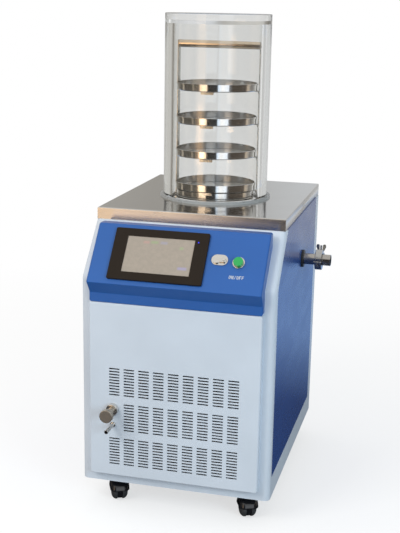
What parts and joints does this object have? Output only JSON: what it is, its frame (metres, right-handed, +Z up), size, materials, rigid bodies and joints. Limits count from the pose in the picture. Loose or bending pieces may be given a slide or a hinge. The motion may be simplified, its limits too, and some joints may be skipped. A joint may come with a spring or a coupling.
{
  "type": "freeze dryer",
  "caption": "Floor-standing laboratory freeze dryer on casters with a steel worktop, clear bell jar over stacked round trays, sloped console and side vacuum port.",
  "frame": {"origin": "centre of the bounding box at floor level", "axes": "+X to the right seen from the front, towards the vacuum port; +Y from the front to the back; +Z up"},
  "size_m": [0.5328, 0.694, 1.1675],
  "materials": {
    "casing_white": "smooth satin powder coat",
    "side_blue": "smooth satin powder coat",
    "console_blue": "smooth satin powder coat",
    "brushed_steel": "brushed stainless",
    "tray_steel": "polished stainless",
    "screw_steel": "zinc plated",
    "bright_metal": "bright nickel plate",
    "clamp_aluminium": "cast, tumbled",
    "fin_aluminium": "plain",
    "copper": "drawn copper",
    "black_plastic": "fine grain",
    "black_enamel": "gloss enamel",
    "grey_enamel": "satin",
    "caster_black": "gloss moulding",
    "caster_tyre": "moulded tread",
    "screen_glass": "lit screen behind clear glass",
    "clear_acrylic": "clear, polished",
    "clear_hose": "translucent",
    "lamp_blue": "clear lens",
    "button_green": "clear domed",
    "seal_rubber": "soft",
    "foam": "closed-cell"
  },
  "bodies": {
    "cabinet": {"base_pan": "casing_white", "front_fascia": "casing_white", "side_panel_left": "side_blue", "side_panel_right": "side_blue", "rear_panel": "casing_white", "front_panel": "casing_white", "console_cover": "console_blue", "worktop": "brushed_steel", "casing_screws": "screw_steel", "display_bezel": "black_plastic", "display_glass": "screen_glass", "display_housing": "black_plastic", "status_lamp": "lamp_blue", "button_housing": "bright_metal", "data_socket": "bright_metal", "cold_trap": "brushed_steel", "trap_coil": "copper", "trap_insulation": "foam", "jar_seal": "seal_rubber", "jar_cylinder": "clear_acrylic", "jar_lid": "clear_acrylic", "tray_rack": "brushed_steel", "rack_handle": "brushed_steel", "vent_valve_body": "bright_metal", "vent_nozzle": "bright_metal", "vent_pipe": "clear_hose", "port_mount": "black_plastic", "port_pipe": "bright_metal", "hose_pipe": "bright_metal", "centring_ring": "bright_metal", "clamp_lower": "clamp_aluminium", "clamp_upper": "clamp_aluminium", "clamp_pin": "screw_steel", "clamp_bolt": "screw_steel", "compressor": "black_enamel", "compressor_mounts": "seal_rubber", "condenser": "fin_aluminium", "fan_frame": "black_plastic", "filter_drier": "copper", "refrigerant_pipes": "copper", "control_box": "grey_enamel", "power_inlet": "black_plastic", "caster_mounts": "screw_steel", "tray_1": "tray_steel", "tray_2": "tray_steel", "tray_3": "tray_steel", "tray_4": "tray_steel"},
    "button": {"button_cap": "button_green"},
    "socket_cap": {"socket_cap": "bright_metal"},
    "vent_knob": {"vent_valve_knob": "bright_metal"},
    "wing_nut": {"wing_nut": "bright_metal"},
    "fan": {"fan_blades": "black_plastic"},
    "caster_hood_1": {"caster_hood_1": "caster_black"},
    "caster_wheels_1": {"caster_wheels_1": "caster_tyre"},
    "caster_hood_2": {"caster_hood_2": "caster_black"},
    "caster_wheels_2": {"caster_wheels_2": "caster_tyre"},
    "caster_hood_3": {"caster_hood_3": "caster_black"},
    "caster_wheels_3": {"caster_wheels_3": "caster_tyre"},
    "caster_hood_4": {"caster_hood_4": "caster_black"},
    "caster_wheels_4": {"caster_wheels_4": "caster_tyre"}
  },
  "joints": [
    {"name": "button_press", "type": "slide", "parent": "cabinet", "child": "button", "axis": [0, 0.7815, -0.6239], "range_m": [0, 0.003], "stiffness_N_per_m": 400, "springref_m": -0.001},
    {"name": "socket_cap_swing", "type": "hinge", "parent": "cabinet", "child": "socket_cap", "pos_m": [0.07095, -0.26857, 0.63707], "axis": [0, -0.7815, 0.6239], "range_deg": [0, 110]},
    {"name": "vent_knob_turn", "type": "hinge", "parent": "cabinet", "child": "vent_knob", "pos_m": [-0.18235, -0.347, 0.262], "axis": [0, -1, 0], "range_deg": [0, 630]},
    {"name": "wing_nut_turn", "type": "hinge", "parent": "cabinet", "child": "wing_nut", "pos_m": [0.237, 0.1105, 0.5795], "axis": [0, 0, 1], "range_deg": [0, 720]},
    {"name": "fan_spin", "type": "hinge", "parent": "cabinet", "child": "fan", "pos_m": [-0.03635, -0.169, 0.196], "axis": [0, 1, 0], "continuous": true},
    {"name": "caster_1_swivel", "type": "hinge", "parent": "cabinet", "child": "caster_hood_1", "pos_m": [-0.19835, -0.209, 0.0665], "axis": [0, 0, 1], "continuous": true},
    {"name": "caster_1_roll", "type": "hinge", "parent": "caster_hood_1", "child": "caster_wheels_1", "pos_m": [-0.19074, -0.22531, 0.025], "axis": [0.9063, 0.4226, 0], "continuous": true},
    {"name": "caster_2_swivel", "type": "hinge", "parent": "cabinet", "child": "caster_hood_2", "pos_m": [0.12565, -0.209, 0.0665], "axis": [0, 0, 1], "continuous": true},
    {"name": "caster_2_roll", "type": "hinge", "parent": "caster_hood_2", "child": "caster_wheels_2", "pos_m": [0.13297, -0.22544, 0.025], "axis": [0.9135, 0.4067, 0], "continuous": true},
    {"name": "caster_3_swivel", "type": "hinge", "parent": "cabinet", "child": "caster_hood_3", "pos_m": [-0.19835, 0.285, 0.0665], "axis": [0, 0, 1], "continuous": true},
    {"name": "caster_3_roll", "type": "hinge", "parent": "caster_hood_3", "child": "caster_wheels_3", "pos_m": [-0.18881, 0.26974, 0.025], "axis": [0.848, 0.5299, 0], "continuous": true},
    {"name": "caster_4_swivel", "type": "hinge", "parent": "cabinet", "child": "caster_hood_4", "pos_m": [0.12565, 0.285, 0.0665], "axis": [0, 0, 1], "continuous": true},
    {"name": "caster_4_roll", "type": "hinge", "parent": "caster_hood_4", "child": "caster_wheels_4", "pos_m": [0.13061, 0.2677, 0.025], "axis": [0.9613, 0.2756, 0], "continuous": true}
  ]
}
